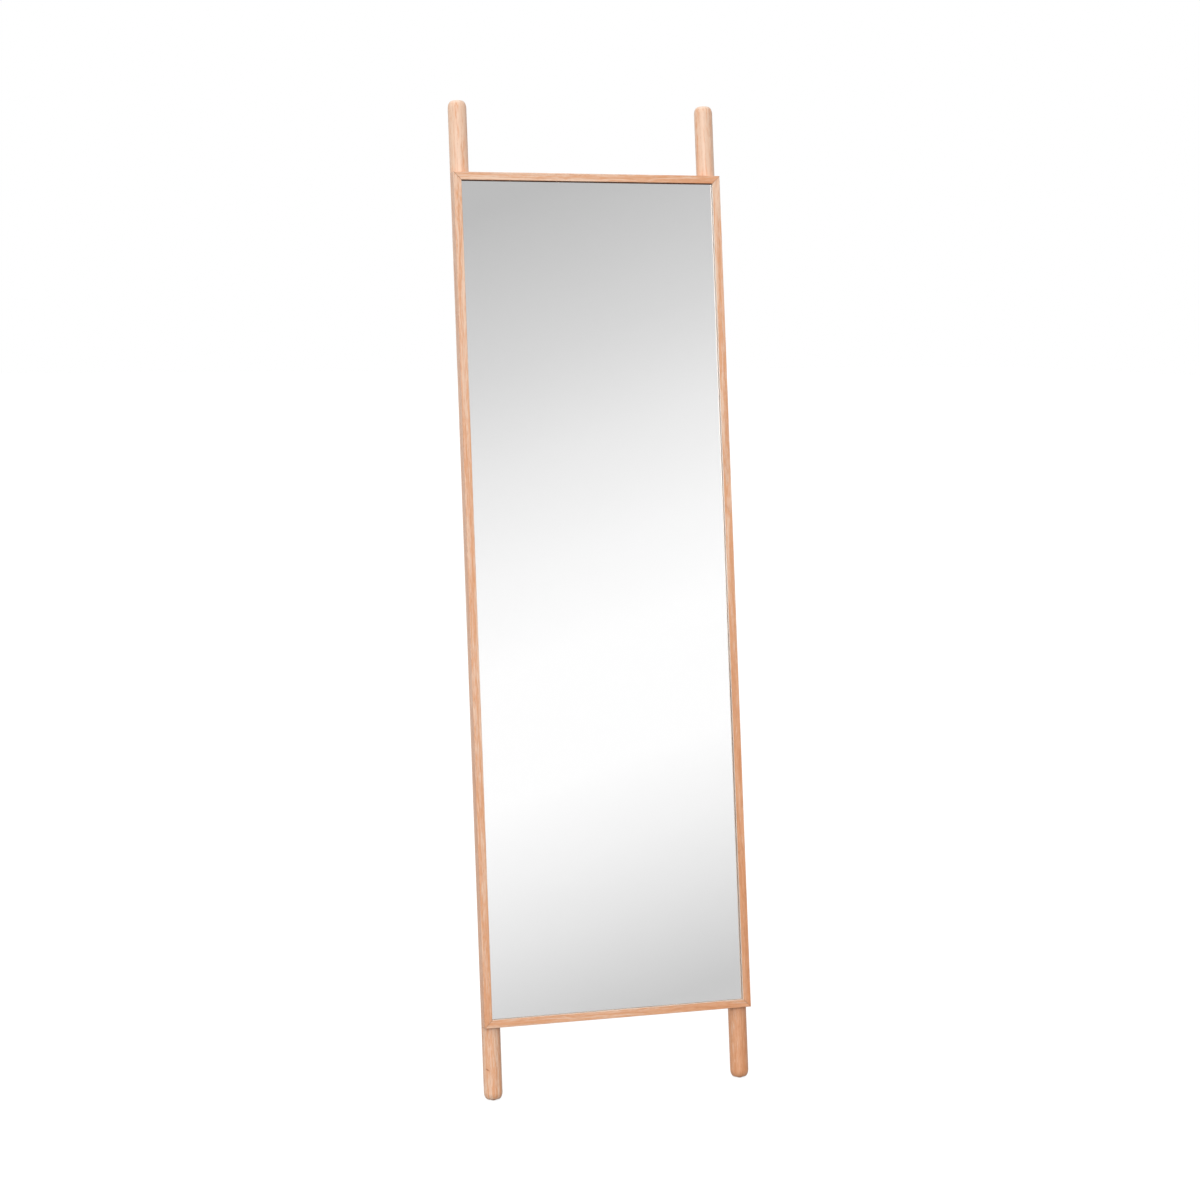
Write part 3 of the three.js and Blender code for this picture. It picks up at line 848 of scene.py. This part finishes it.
# %% Cut the members from their boards
clip_screws = [f"board_clip_screw_{end}_{side}" for end in ENDS for side, _ in SIDES]
rail_screws = [f"post_screw_{side}_{i}" for side, _ in SIDES for i in (1, 4)]
corners = (STILE_HALF, RAIL_HALF, MIDDLE_Z)
member_oak = {
    # Each lip below is painted light, paler, except the top rail's, which is painted shade,
    # darker.
    "stile_left": oak("oak_stile_left", (-256, -20, 0), (70, 52, 300), (0.8, 0.5, 10), ring=4.4,
                      cream_at=1700, heart_at=-3300, corners=corners,
                      lip=((1, 0, 0), 0.5, LIP_LIGHT)),
    "stile_right": oak("oak_stile_right", (256, -20, 0), (48, -66, 900), (-0.6, -0.7, 200),
                       ring=4.0, cream_at=1750, heart_at=250, corners=corners,
                       lip=((-1, 0, 0), 0.85, LIP_LIGHT)),
    "top_rail": oak("oak_top_rail", (0, -20, 790), (58, 40, 60), (1.0, 91.2, 0), ring=3.8,
                    cream_at=120, heart_at=-380, corners=corners, lip=((0, 0, -1), 1.0, LIP_SHADE),
                    dull_lip=True),
    "bottom_rail": oak("oak_bottom_rail", (0, -20, -790), (36, 74, -500), (-1.2, 88.9, 0),
                       ring=4.2, cream_at=900, heart_at=-1700, corners=corners,
                       lip=((0, 0, 1), 0.9, LIP_LIGHT)),
}
print("boards for", ", ".join(member_oak))

# %% Make the frame
stile, rail = (STILE_HALF, RAIL_HALF), (RAIL_HALF, STILE_HALF)
member_plan = (("stile_left", stile, 0), ("top_rail", rail, 90), ("stile_right", stile, 180),
               ("bottom_rail", rail, 270))
for name, halves, turn in member_plan:
    bar = moved(member(*halves), 0, 0, MIDDLE_Z,
                turn=Matrix.Rotation(math.radians(turn), 4, "Y"))
    bits = key_slots()
    if halves is rail:
        bits += screw_holes(clip_screws, SMALL_R) + screw_holes(rail_screws, SHANK_R)
    piece = finished(f"mitred_{name}", drilled(bar, bits), member_oak[name], name,
                     edge=0.25)
    print(piece.name, len(piece.data.vertices), "vertices")

# %% [markdown]
# ## The glass
# A mirror is clear glass with silver on its back and grey paint over the silver. So it has two
# reflections: a faint one at the front and the strong one 2 mm behind. That depth is why a thin
# dark seam runs beside a lip.
#
# One metal sheet would reflect as well, but it would lose the seam. Here the pane is real glass
# with ground edges, and the silver and its paint are a film behind it.


# %% A sheet and its finishes
def slab(low, high, edge):
    """A sheet that faces the front, with its edges chamfered."""
    rings = []
    for y, inset in ((low.y, edge), (low.y + edge, 0), (high.y - edge, 0), (high.y, edge)):
        left, right, bottom, top = low.x + inset, high.x - inset, low.z + inset, high.z - inset
        rings.append([(left, y, bottom), (right, y, bottom), (right, y, top), (left, y, top)])
    return skin(rings)


def assign(piece, choose):
    """Gives each face the material slot that choose(its normal) says."""
    for face in piece.data.polygons:
        face.material_index = choose(face.normal)


# %% Glass and silver
def clear_glass(name, tint, roughness=0.0):
    material, tree, shader = new_material(name)
    fill(tree, shader, {"Base Color": tint, "Transmission Weight": 1.0, "IOR": 1.52,
                        "Roughness": roughness})
    return material


def ground_edge():
    material = clear_glass("ground_glass_edge", paint(206, 232, 222), 0.45)
    tree = material.node_tree
    shader = tree.nodes["Principled BSDF"]
    tooth = use(tree, mottle, {"Vector": put(tree, "TexCoord").outputs["Object"],
                               "Roughness": 0.45, "Tooth Scale": 2200.0})
    fill(tree, shader, {"Roughness": tooth["Roughness"],
                        "Normal": bumped(tree, tooth["Height"], 0.00008)})
    return material


def silver():
    """The silver is even. Only the slight waviness of float glass moves what it reflects."""
    material, tree, shader = new_material("mirror_silver")
    wave = noise(tree, put(tree, "TexCoord").outputs["Object"], 0.0, scale=6.0)["Fac"]
    fill(tree, shader, {"Base Color": paint(253, 253, 253), "Metallic": 1.0, "Roughness": 0.0,
                        "Normal": bumped(tree, wave, 0.00004)})
    return material


# %% Pane and film
GROUND = 0.6  # the chamfer on the pane's edges
FILM_START, FILM_END, FILM_EDGE = 0.05, 0.2, 0.02  # the first two are behind the glass
FRONT = 0.9  # a face whose normal has more than this share along y is not an edge

pane = finished("glass_pane", slab(glass_low, glass_high, GROUND),
                [clear_glass("clear_float_glass", paint(255, 255, 255)), ground_edge()],
                "mirror_glass", edge=0)
assign(pane, lambda normal: 0 if abs(normal.y) > FRONT else 1)
film_low = Vector((glass_low.x + GROUND, glass_high.y + FILM_START, glass_low.z + GROUND))
film_high = Vector((glass_high.x - GROUND, glass_high.y + FILM_END, glass_high.z - GROUND))
film = finished("silver_and_paint", slab(film_low, film_high, FILM_EDGE),
                [silver(), backing_paint], "mirror_glass", edge=0)
assign(film, lambda normal: 0 if normal.y < -FRONT else 1)
print("pane", glass_high - glass_low, "mm")

# %% [markdown]
# ## The back board
# Fibreboard is wood ground to fluff and pressed. It is brown, slightly cloudy, and flecked with
# short fibres that lie every way. Its sawn edge is rougher and darker than its face.
#
# The board is a slab with the screw holes drilled. The flecks are noise stretched one way and then
# the other.

# %% Fibreboard
# How each kind lies, in waves per metre, and its shade.
FIBRES = (((900, 900, 230), paint(122, 90, 62)), ((230, 900, 900), paint(200, 170, 134)),
          ((620, 900, 620), paint(112, 82, 56)))


def fibreboard():
    material, tree, shader = new_material("fibreboard")
    place = put(tree, "TexCoord").outputs["Object"]
    base = use(tree, mottle, {"Vector": place, "Cloud Scale": 26.0, "Tooth Scale": 1300.0,
                              "Dark": paint(156, 122, 90), "Light": paint(176, 142, 107),
                              "Roughness": 0.8})
    colour = base["Color"]
    for lie, shade in FIBRES:
        fleck = ease(tree, grain(tree, place, lie, 1.0), 0.58, 0.74, 0.0, 0.4)
        colour = blend(tree, fleck, colour, shade)
    wear = use(tree, edge_wear, {"Radius": 0.0015, "Softness": 0.4})["Mask"]
    colour = stained_and_lit(tree, colour, wear, 0.4, paint(110, 80, 54))
    fill(tree, shader, {"Base Color": colour, "Roughness": base["Roughness"],
                        "Specular IOR Level": 0.3,
                        "Normal": bumped(tree, base["Height"], 0.00008)})
    return material


# %% Make the board
board_screws = [f"post_screw_{side}_{i}" for side, _ in SIDES for i in (2, 3)]
hanger_screws = [f"hanger_screw_{side}_{i}" for side, _ in SIDES for i in (1, 2)]

board_low, board_high = measure("back_board")
board_holes = screw_holes(board_screws, SHANK_R) + screw_holes(hanger_screws, SMALL_R)
board = finished("fibre_back_board", drilled(slab(board_low, board_high, 0.5), board_holes),
                 fibreboard(), "back_board", edge=0)
print(board.name, board_high - board_low, "mm")

# %% [markdown]
# ## Screws
# A wood screw has a sharp thread, a pan or countersunk head, and a cross recess. A thread looks
# hard to model, but it is only a radius that depends on both height and angle, so the lathe's
# circles become gear-like rings.
#
# Each screw is made standing on its tip, and then laid into its hole.

# %% The thread
SCREW_SIDES = 20
RINGS_A_TURN = 4
FINE_PITCH, COARSE_PITCH = 1.1, 1.6
THREAD_DEPTH = 0.34  # a share of the radius
CREST_SLOPE = 2.6


def thread(radius, pitch, low, high):
    """Rings of a thread that starts at a point. The crest climbs one pitch for each turn."""
    steps = int((high - low) / pitch * RINGS_A_TURN)
    rings = []
    for step in range(steps + 1):
        z = low + (high - low) * step / steps
        point = min(1.0, 0.25 + (z - low) / (1.6 * radius))
        ring = []
        for i, (c, s) in enumerate(spokes(SCREW_SIDES)):
            turn = (z / pitch - i / SCREW_SIDES) % 1
            crest = 1 - THREAD_DEPTH * min(1.0, CREST_SLOPE * min(turn, 1 - turn))
            ring.append((radius * point * crest * c, radius * point * crest * s, z))
        rings.append(ring)
    return rings


# %% The heads
PAN_HEIGHT = 1.8


def cross_recess(top, reach, depth):
    """Two crossed wings that widen upwards."""
    wings = []
    for turn in (0, math.pi / 2):
        wing = skin([[(-r, -w, z), (r, -w, z), (r, w, z), (-r, w, z)]
                     for r, w, z in ((0.45 * reach, 0.22, top - depth), (reach, 0.42, top + 1))])
        wings.append(moved(wing, 0, 0, 0, turn=Matrix.Rotation(turn, 4, "Z")))
    return wings


def pan_screw(low, high, head_r):
    radius, seat = SMALL_R, high - PAN_HEIGHT
    shank = thread(radius, FINE_PITCH, low, seat - 0.5)
    crown = [(radius, seat - 0.4), (radius, seat), (head_r, seat),
             (head_r, seat + 0.35 * PAN_HEIGHT)]
    crown += [(head_r * math.cos(a), seat + PAN_HEIGHT * (0.35 + 0.65 * math.sin(a)))
              for a in (0.5, 0.9, 1.3)]
    return drilled(skin(shank + circles(crown, SCREW_SIDES)), cross_recess(high, 1.7, 0.9))


def countersunk_screw(low, high, head_r):
    radius, neck = SHANK_R, high - head_r + SHANK_R
    shank = thread(radius, COARSE_PITCH, low, low + 0.62 * (neck - low))
    crown = [(0.8 * radius, low + 0.64 * (neck - low)), (0.8 * radius, neck - 0.6),
             (head_r, high - 0.3), (head_r, high)]
    return drilled(skin(shank + circles(crown, SCREW_SIDES)), cross_recess(high, 2.2, 1.9))


# %% Drive the screws
pan_heads, sunk_heads = clip_screws + hanger_screws, rail_screws + board_screws
for names, kind, shape in ((pan_heads, "pan", pan_screw), (sunk_heads, "sunk", countersunk_screw)):
    for name in names:
        low, high = measure(name)
        screw = shape(low.y, high.y, half_width(name))
        finished(f"{kind}_{name}", moved(screw, *axis_of(name), turn=FACING_BACK), zinc, name,
                 edge=0)
print("screws:", len(pan_heads), "pan head,", len(sunk_heads), "countersunk")

# %% [markdown]
# ## Turn clips
# Four flat clips hold the board in. Each is stamped from sheet, so its outline is sharp in plan
# with corners only just eased, and it turns on its screw to let the board out.

# %% Make the clips
CLIP_CORNER = 1.5


def ended_plate(half, heel, tip, thickness):
    """A plate about its screw: two small round corners above it, and a round end below."""
    inner, shoulder = half - CLIP_CORNER, heel - CLIP_CORNER
    outline = arc(0, half - tip, half, 180, 360, 16)
    outline += arc(inner, shoulder, CLIP_CORNER, 0, 90, 4)
    outline += arc(-inner, shoulder, CLIP_CORNER, 90, 180, 4)
    return skin([[(x, y, z) for x, z in outline] for y in (0, thickness)])


for end, turn in (("top", 0), ("bottom", math.pi)):
    for side, _ in SIDES:
        name, screw_name = f"board_clip_{end}_{side}", f"board_clip_screw_{end}_{side}"
        low, high = measure(name)
        screw = level(screw_name)
        heel, tip = sorted((high.z - screw, screw - low.z))
        plate = moved(ended_plate(half_width(name), heel, tip, high.y - low.y), axis_of(name)[0],
                      low.y, screw, turn=Matrix.Rotation(turn, 4, "Y"))
        finished(f"turn_clip_{end}_{side}", drilled(plate, screw_holes([screw_name], SMALL_R)),
                 zinc, name, edge=0.2)
print("clips: 4, sheet", round(high.y - low.y, 2), "mm thick")

# %% [markdown]
# ## Ring hangers
# The strap is one strip of steel. It is rolled round the ring's straight leg and lies flat below
# it, with a round end and two screws. The ring is wire, bent into a D, and it swings in the rolled
# eye.
#
# A strip and a wire are the same job: carry a small section along a path. For the strip the
# section is a thin rectangle whose width follows the round end, and for the wire it is a circle.

# %% The strap
SHEET = 1.1
EYE_TURN = 296  # degrees that the strip is rolled
NARROWEST = 0.6


def strap(half, eye_r, drop):
    """A strip from its round lower end up and round the eye. The hinge axis is x, through the
    origin."""
    line = eye_r - SHEET / 2
    path = [(-line, z, max(NARROWEST, wide)) for wide, z in arc(0, half - drop, half, -90, 0, 8)]
    path += [(-line, -share * drop, half) for share in (0.6, 0.3, 0.12)]
    flat = len(path)
    path += [(y, z, half) for y, z in arc(0, 0, line, 180, 180 - EYE_TURN, 16)]
    rings = []
    for i, (y, z, wide) in enumerate(path):
        out_y, out_z = (-1.0, 0.0) if i < flat else (y / line, z / line)
        rings.append([(x, y + side * SHEET / 2 * out_y, z + side * SHEET / 2 * out_z)
                      for x, side in ((-wide, -1), (wide, -1), (wide, 1), (-wide, 1))])
    return skin(rings)


# %% The ring
RING_WIRE = 1.5  # radius of the wire
RING_BEND = 2.6  # radius of its corners
WIRE_SIDES = 14
BOW_FROM = -14  # degrees, where the bow starts on the right


def wire_ring(reach):
    """A D of wire: a straight leg on the x axis and a round bow below it."""
    path = arc(reach - RING_BEND, -RING_BEND, RING_BEND, 90, 0, 5)
    path += arc(0, 0, reach, BOW_FROM, -180 - BOW_FROM, 28)
    path += arc(RING_BEND - reach, -RING_BEND, RING_BEND, 180, 90, 5)
    path += [(-reach / 3, 0), (reach / 3, 0)]
    back = Vector((0, 1, 0))
    rings = []
    for i, (x, z) in enumerate(path):
        before, after = path[i - 1], path[(i + 1) % len(path)]
        along = Vector((after[0] - before[0], 0, after[1] - before[1])).normalized()
        outward = along.cross(back)
        rings.append([Vector((x, 0, z)) + RING_WIRE * (c * outward + s * back)
                      for c, s in spokes(WIRE_SIDES)])
    return skin(rings, joined=True)


# %% Make the hangers
for side, _ in SIDES:
    name = f"hanger_plate_{side}"
    low, high = measure(name)
    ring_low, ring_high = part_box(f"hanger_ring_{side}")
    pivot = (ring_low + ring_high) / 2
    pivot.z = ring_high.z - RING_WIRE * MM
    hinge = to_bench @ pivot / MM
    eye_r = high.z - hinge.z
    shape = moved(strap(half_width(name), eye_r, hinge.z - low.z), *hinge)
    bits = [moved(hole(SMALL_R + HOLE_AIR, -2, SHEET + 1), hinge.x, low.y,
                  level(f"hanger_screw_{side}_{i}"), turn=FACING_BACK) for i in (1, 2)]
    finished(f"strap_hanger_{side}", drilled(shape, bits), zinc, name, edge=0.2)
    reach = (ring_high.x - ring_low.x) / 2 / MM - RING_WIRE
    finished(f"wire_ring_{side}", wire_ring(reach), zinc, f"hanger_ring_{side}", edge=0,
             body=f"ring_{side}", place=Matrix.Translation(pivot))
    print(f"hanger {side}: hinge {hinge.z:.1f} mm up the bench, eye {eye_r:.2f} mm")

# %% [markdown]
# ## Rubber feet and buffers
# A tan rubber glide is let into the foot of each post. The posts lean, so its sole is cut on a
# slant to lie flat on the floor. A black buffer behind each post top keeps the oak off the wall:
# its front is hollowed to sit on the round of the post, and its back is cut upright.
#
# Both are lathe shapes with some rings bent onto another surface: the floor, the post or the wall.

# %% Floor and wall, seen from the bench
RUBBER_SIDES = 40
tilt = bench.to_3x3()


def on_floor(y, lift=0.0):
    """The height on the bench of a point that is lift above the floor."""
    return ((lift * MM - bench_origin.z) / MM - tilt[2][1] * y) / tilt[2][2]


def on_wall(z, wall, air=0.0):
    """The depth on the bench of a point that is air in front of the wall."""
    return ((wall - bench_origin.y) / MM - air - tilt[1][2] * z) / tilt[1][1]


# %% The glide
SOLE = ((PAD_R - 0.6, 0.0), (PAD_R - 0.2, 0.15), (PAD_R, 0.5))  # radius, height off the floor


def glide():
    top = PAD_SUNK - GAP - POST_END
    outline = [[(r * c, r * s, on_floor(r * s, lift)) for c, s in spokes(RUBBER_SIDES)]
               for r, lift in SOLE]
    return skin(outline + circles([(PAD_R, top - 0.3), (PAD_R - 0.3, top)], RUBBER_SIDES))


# %% The buffer
BUFFER_R = 8.0
# The end at the wall, as (radius, air): it has a rounded rim and is hollow in the middle.
WALL_END = ((BUFFER_R, 1.0), (7.8, 0.4), (7.3, 0.0), (4.6, 0.0), (4.2, 0.8))


def buffer(height, wall):
    stem = measure("wall_bumper_left")[0].y

    def on_post(x, z):
        return post_surface(x, POST_R + GAP)

    shape = [(2.5, lambda x, z: stem), (STEM_R, lambda x, z: stem + 0.6), (STEM_R, on_post),
             (7.6, on_post), (BUFFER_R, lambda x, z: on_post(x, z) + 0.4)]
    shape += [(radius, lambda x, z, air=air: on_wall(height + z, wall, air))
              for radius, air in WALL_END]
    return skin([[(r * c, depth(r * c, r * s), height + r * s) for c, s in spokes(RUBBER_SIDES)]
                 for r, depth in shape])


# %% Make the feet and buffers
for side, sign in SIDES:
    finished(f"foot_glide_{side}", moved(glide(), sign * POST_X, 0, 0), tan_rubber,
             f"foot_pad_{side}", edge=0)
    name = f"wall_bumper_{side}"
    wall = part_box(name)[1].y
    finished(f"wall_buffer_{side}", moved(buffer(level(name), wall), sign * POST_X, 0, 0),
             black_rubber, name, edge=0)
print(f"wall plane at y = {wall:.4f} m")

# %% [markdown]
# ## Parts that stay as they were drawn
# The tongues in the mitres, the strips of foam tape and the two rubber blocks under the glass are
# plain blocks on the real mirror too. Their engineering shapes are right, so they only need their
# finishes.

# %% Finish the parts that stay
kept = {f"mirror_tape_{place}": foam for place in ("left", "middle", "right")}
kept |= {f"setting_block_{side}": black_rubber for side, _ in SIDES}
kept |= dict.fromkeys(KEYS, oak("oak_tongues", (0, -20, 0), (44, 40, 60), (20, 30, 0)))
for name, material in kept.items():
    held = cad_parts[name].data.materials
    held.clear()
    held.append(material)
print("kept:", ", ".join(kept))

# %% [markdown]
# ## The room
# A mirror shows its surroundings, so here the world has two jobs. For the wood it is a plain soft
# room, a little brighter overhead and on the left. For mirrors and glass it is a pale wall that
# fades to grey above and below, as a studio's paper roll does, and that fade is what one sees in
# the glass.
#
# Light Path tells the world which kind of ray asks. A ray straight from the camera gets white.

# %% Light for the wood
HORIZON, OVERHEAD, FROM_LEFT = 0.7, 1.25, 0.22

world = bpy.data.worlds.new("studio")
bpy.context.scene.world = world
world.use_nodes = True
sky = world.node_tree
sky.nodes.clear()
gaze = put(sky, "TexCoord").outputs["Generated"]
gaze_parts = split(sky, gaze)
soft = ease(sky, gaze_parts["Z"], 0.1, 1.0, HORIZON, OVERHEAD)
soft = plus(sky, soft, times(sky, gaze_parts["X"], -FROM_LEFT))
room_light = grey(sky, soft)
print("room light", HORIZON, "to", OVERHEAD)

# %% A wall for the mirror
# Each stop is (height of the gaze, brightness). The wall is tilted, so the fade runs slantwise.
WALL_TILT = Vector((-0.2874, 0.0, 0.9578))
WALL_REACH = 0.25
WALL_STOPS = ((-0.11, 0.6), (-0.07, 0.81), (-0.045, 0.92), (-0.015, 1.02), (0.035, 1.02),
              (0.07, 0.955), (0.11, 0.84), (0.15, 0.69), (0.21, 0.52))

height = vector_calc(sky, "DOT_PRODUCT", gaze, WALL_TILT)
share = put(sky, "MapRange", {"Value": height, "From Min": -WALL_REACH,
                              "From Max": WALL_REACH}).outputs[0]
wall_fade = put(sky, "ValToRGB", {"Fac": share})
marks = wall_fade.color_ramp.elements
marks.remove(marks[0])
for i, (high, bright) in enumerate(WALL_STOPS):
    place = (high + WALL_REACH) / (2 * WALL_REACH)
    mark = marks[0] if i == 0 else marks.new(place)
    mark.position, mark.color = place, (bright, bright, bright, 1)
print("stops in the wall's fade:", len(marks))

# %% Put the room together
WHITE = (1, 1, 1, 1)

ray = put(sky, "LightPath").outputs
in_glass = calc(sky, "MAXIMUM", ray["Is Glossy Ray"], ray["Is Transmission Ray"])
room = blend(sky, in_glass, room_light, wall_fade.outputs["Color"])
room = blend(sky, ray["Is Camera Ray"], room, WHITE)
put(sky, "OutputWorld", {"Surface": put(sky, "Background", {"Color": room}).outputs[0]})
print("nodes in the world:", len(sky.nodes))

# %% [markdown]
# ## The key light
# One large area lamp, far off to the left and not much higher than the mirror, shapes the round
# posts and draws the small shadow under the frame. A nearer lamp would light the top far more than
# the feet.

# %% The lamp
LAMP_AT = (-2.6, -5.85, 2.9)
LAMP_AIM = Vector((0, 0.1, 1.2))
LAMP_SIZE, LAMP_WATTS = 2.6, 200

lamp = add_object("key_lamp", bpy.data.lights.new("key_lamp", "AREA"))
lamp.location = LAMP_AT
lamp.data.size, lamp.data.energy = LAMP_SIZE, LAMP_WATTS
towards = LAMP_AIM - lamp.location
lamp.rotation_euler = towards.to_track_quat("-Z", "Y").to_euler()
print(f"lamp {towards.length:.1f} m away, {LAMP_WATTS} W")

# %% [markdown]
# ## The floor
# The floor is white to the eye, yet a truly white floor would throw so much light up that the
# underside of each rail would glow. So it is grey to the light, and glows just enough, only for
# the camera, to look white. The object's shadow still takes its share away. The mirror doesn't see
# the floor, only the pale wall.

# %% Lay the floor
FLOOR_GREY = 0.2
FLOOR_GLOW = 0.88
NEAR, FAR, ASIDE = -30, 60, 30

floor_mesh = bpy.data.meshes.new("floor")
floor_mesh.from_pydata([(-ASIDE, NEAR, 0), (ASIDE, NEAR, 0), (ASIDE, FAR, 0), (-ASIDE, FAR, 0)],
                       [], [(0, 1, 2, 3)])
floor = add_object("floor", floor_mesh)
floor.visible_glossy = floor.visible_transmission = False
floor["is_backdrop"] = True

floor_paint, tree, shader = new_material("pale_floor")
to_camera = put(tree, "LightPath").outputs["Is Camera Ray"]
fill(tree, shader, {"Base Color": (FLOOR_GREY, FLOOR_GREY, FLOOR_GREY, 1), "Roughness": 1.0,
                    "Specular IOR Level": 0.0, "Emission Color": WHITE,
                    "Emission Strength": times(tree, to_camera, FLOOR_GLOW)})
floor_mesh.materials.append(floor_paint)
print("the floor gives back", FLOOR_GREY, "of the light")

# %% [markdown]
# ## The camera
# The camera stands a little left of the mirror at eye height and looks slightly down, through a
# lens longer than normal, so that the upright lines stay calm.

# %% The camera
CAMERA_AT = (-1.337, -4.355, 1.4546)
LOOKING_DOWN, LOOKING_RIGHT = 6.547, 16.63  # degrees

camera = add_object("camera", bpy.data.cameras.new("camera"))
camera.location = CAMERA_AT
camera.rotation_euler = (math.radians(90 - LOOKING_DOWN), 0, math.radians(-LOOKING_RIGHT))
camera.data.lens, camera.data.sensor_width = 74.2, 36
bpy.context.scene.camera = camera
print("camera at", CAMERA_AT)

# %% [markdown]
# ## Colour view and sizes
# Standard view keeps colours as they are written. The sizes of two boxes, of the engineering
# model and of what was built here, are printed side by side.

bpy.context.scene.view_settings.view_transform = "Standard"
size = {"cad": [list(c) for c in cad_box], "visual": [list(c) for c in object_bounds()]}
for label, (low, high) in size.items():
    print(label, [round(b - a, 4) for a, b in zip(low, high)], "m")
